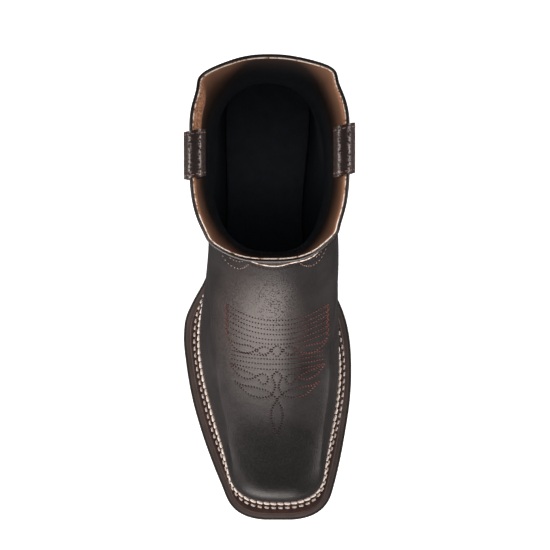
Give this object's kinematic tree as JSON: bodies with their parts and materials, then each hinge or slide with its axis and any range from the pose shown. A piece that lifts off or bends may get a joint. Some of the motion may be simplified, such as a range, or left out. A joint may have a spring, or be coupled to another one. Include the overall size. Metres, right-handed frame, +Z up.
{
  "type": "western boot",
  "caption": "Right pull-on western boot with a broad square toe, welted sole, low stacked heel, scalloped shaft and pull straps.",
  "frame": {"origin": "on the floor, at the middle of the boot's length and width", "axes": "+Z up; toe toward -Y, heel toward +Y; inner side of the foot toward +X"},
  "size_m": [0.112, 0.3036, 0.304],
  "materials": {
    "upper_leather": "oiled smooth leather, very dark brown",
    "lining_suede": "tan suede lining",
    "strap_leather": "dark brown leather",
    "welt_leather": "dark brown welt leather",
    "thread": "waxed cream and russet thread",
    "outsole_rubber": "matt grey-brown rubber",
    "heel_leather": "stacked leather lifts, edge dressed",
    "heel_rubber": "black rubber",
    "insole_leather": "dark dyed insole leather"
  },
  "bodies": {
    "root": {"upper": "upper_leather", "outsole": "outsole_rubber", "welt": "welt_leather", "heel_stack": "heel_leather", "heel_cap": "heel_rubber", "insole": "insole_leather", "pull_strap_lateral": "strap_leather", "pull_strap_medial": "strap_leather"}
  },
  "joints": []
}
